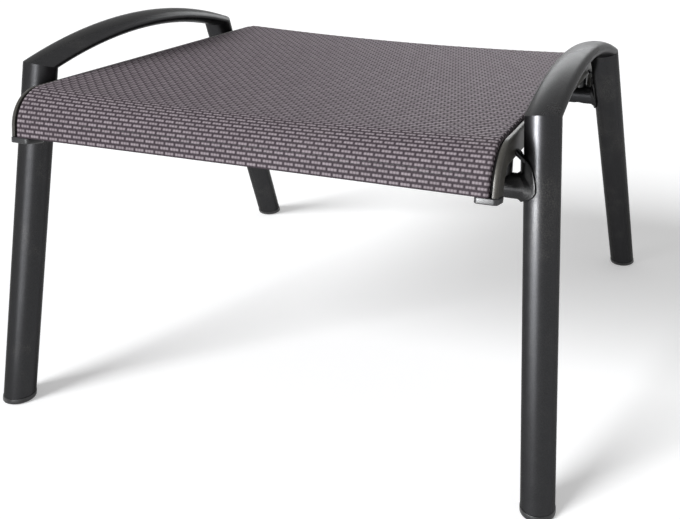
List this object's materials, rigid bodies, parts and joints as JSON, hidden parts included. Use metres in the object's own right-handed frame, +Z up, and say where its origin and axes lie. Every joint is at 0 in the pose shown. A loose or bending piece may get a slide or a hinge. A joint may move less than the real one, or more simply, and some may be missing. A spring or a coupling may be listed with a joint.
{
  "type": "outdoor footstool",
  "caption": "Low outdoor footstool: a woven sling between bent side rails, on a welded tube frame with splayed legs, arched handrails, crossbars and plastic foot glides.",
  "frame": {"origin": "on the floor, at the middle of the stool's bounding box", "axes": "+X to the stool's right side, +Y to the rear, +Z up; the front edge of the seat faces -Y"},
  "size_m": [0.6004, 0.6114, 0.3704],
  "materials": {
    "frame_paint": "satin dark grey metallic powder coat",
    "sling_fabric": "coarse woven mesh, silvery mauve on near black",
    "black_plastic": "satin black",
    "cord_plastic": "matt black",
    "fastener_steel": "zinc plated"
  },
  "bodies": {
    "root": {"leg_front_left": "frame_paint", "leg_rear_left": "frame_paint", "leg_front_right": "frame_paint", "leg_rear_right": "frame_paint", "handrail_left": "frame_paint", "handrail_right": "frame_paint", "crossbar_front": "frame_paint", "crossbar_rear": "frame_paint", "rail_bracket_front_left": "frame_paint", "rail_bracket_rear_left": "frame_paint", "rail_bracket_front_right": "frame_paint", "rail_bracket_rear_right": "frame_paint", "sling_rail_left": "frame_paint", "sling_rail_right": "frame_paint", "sling": "sling_fabric", "edge_cord_left": "cord_plastic", "edge_cord_right": "cord_plastic", "rail_cap_front_left": "black_plastic", "rail_cap_rear_left": "black_plastic", "rail_cap_front_right": "black_plastic", "rail_cap_rear_right": "black_plastic", "foot_glide_front_left": "black_plastic", "foot_glide_rear_left": "black_plastic", "foot_glide_front_right": "black_plastic", "foot_glide_rear_right": "black_plastic", "rail_spacer_front_left": "black_plastic", "rail_spacer_rear_left": "black_plastic", "rail_spacer_front_right": "black_plastic", "rail_spacer_rear_right": "black_plastic", "rail_bolt_front_left": "fastener_steel", "rail_nut_front_left": "fastener_steel", "rail_bolt_rear_left": "fastener_steel", "rail_nut_rear_left": "fastener_steel", "rail_bolt_front_right": "fastener_steel", "rail_nut_front_right": "fastener_steel", "rail_bolt_rear_right": "fastener_steel", "rail_nut_rear_right": "fastener_steel"}
  },
  "joints": []
}
